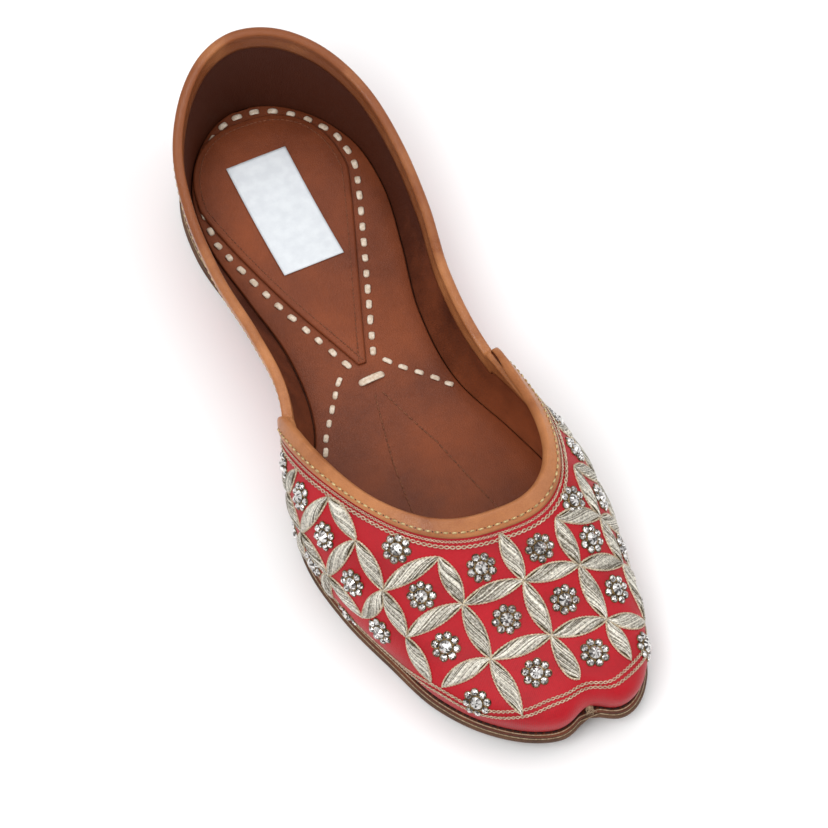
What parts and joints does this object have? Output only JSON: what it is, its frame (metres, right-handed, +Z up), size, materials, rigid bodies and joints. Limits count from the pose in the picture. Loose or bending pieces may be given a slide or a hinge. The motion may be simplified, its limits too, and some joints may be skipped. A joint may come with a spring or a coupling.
{
  "type": "mojari shoe",
  "caption": "Flat right slip-on shoe of embroidered satin on a layered leather sole, with a lapped vamp, bound edges and a notched toe.",
  "frame": {"origin": "on the floor under the middle of the shoe's box", "axes": "+Z up, toe towards -Y, heel towards +Y, +X towards the foot's inner side"},
  "size_m": [0.0934, 0.2522, 0.0551],
  "materials": {
    "sole_leather": "matt, grey-brown",
    "midsole_leather": "matt, orange-brown",
    "satin": "red satin with zari embroidery",
    "binding_leather": "tan, slightly glossy",
    "lining_leather": "brown, matt",
    "label_cloth": "white, plain"
  },
  "bodies": {
    "root": {"heel_lift": "sole_leather", "outsole": "sole_leather", "midsole": "midsole_leather", "upper": "satin", "collar_binding": "binding_leather", "throat_binding": "binding_leather", "insole": "lining_leather", "heel_pad": "lining_leather", "label": "label_cloth"}
  },
  "joints": []
}
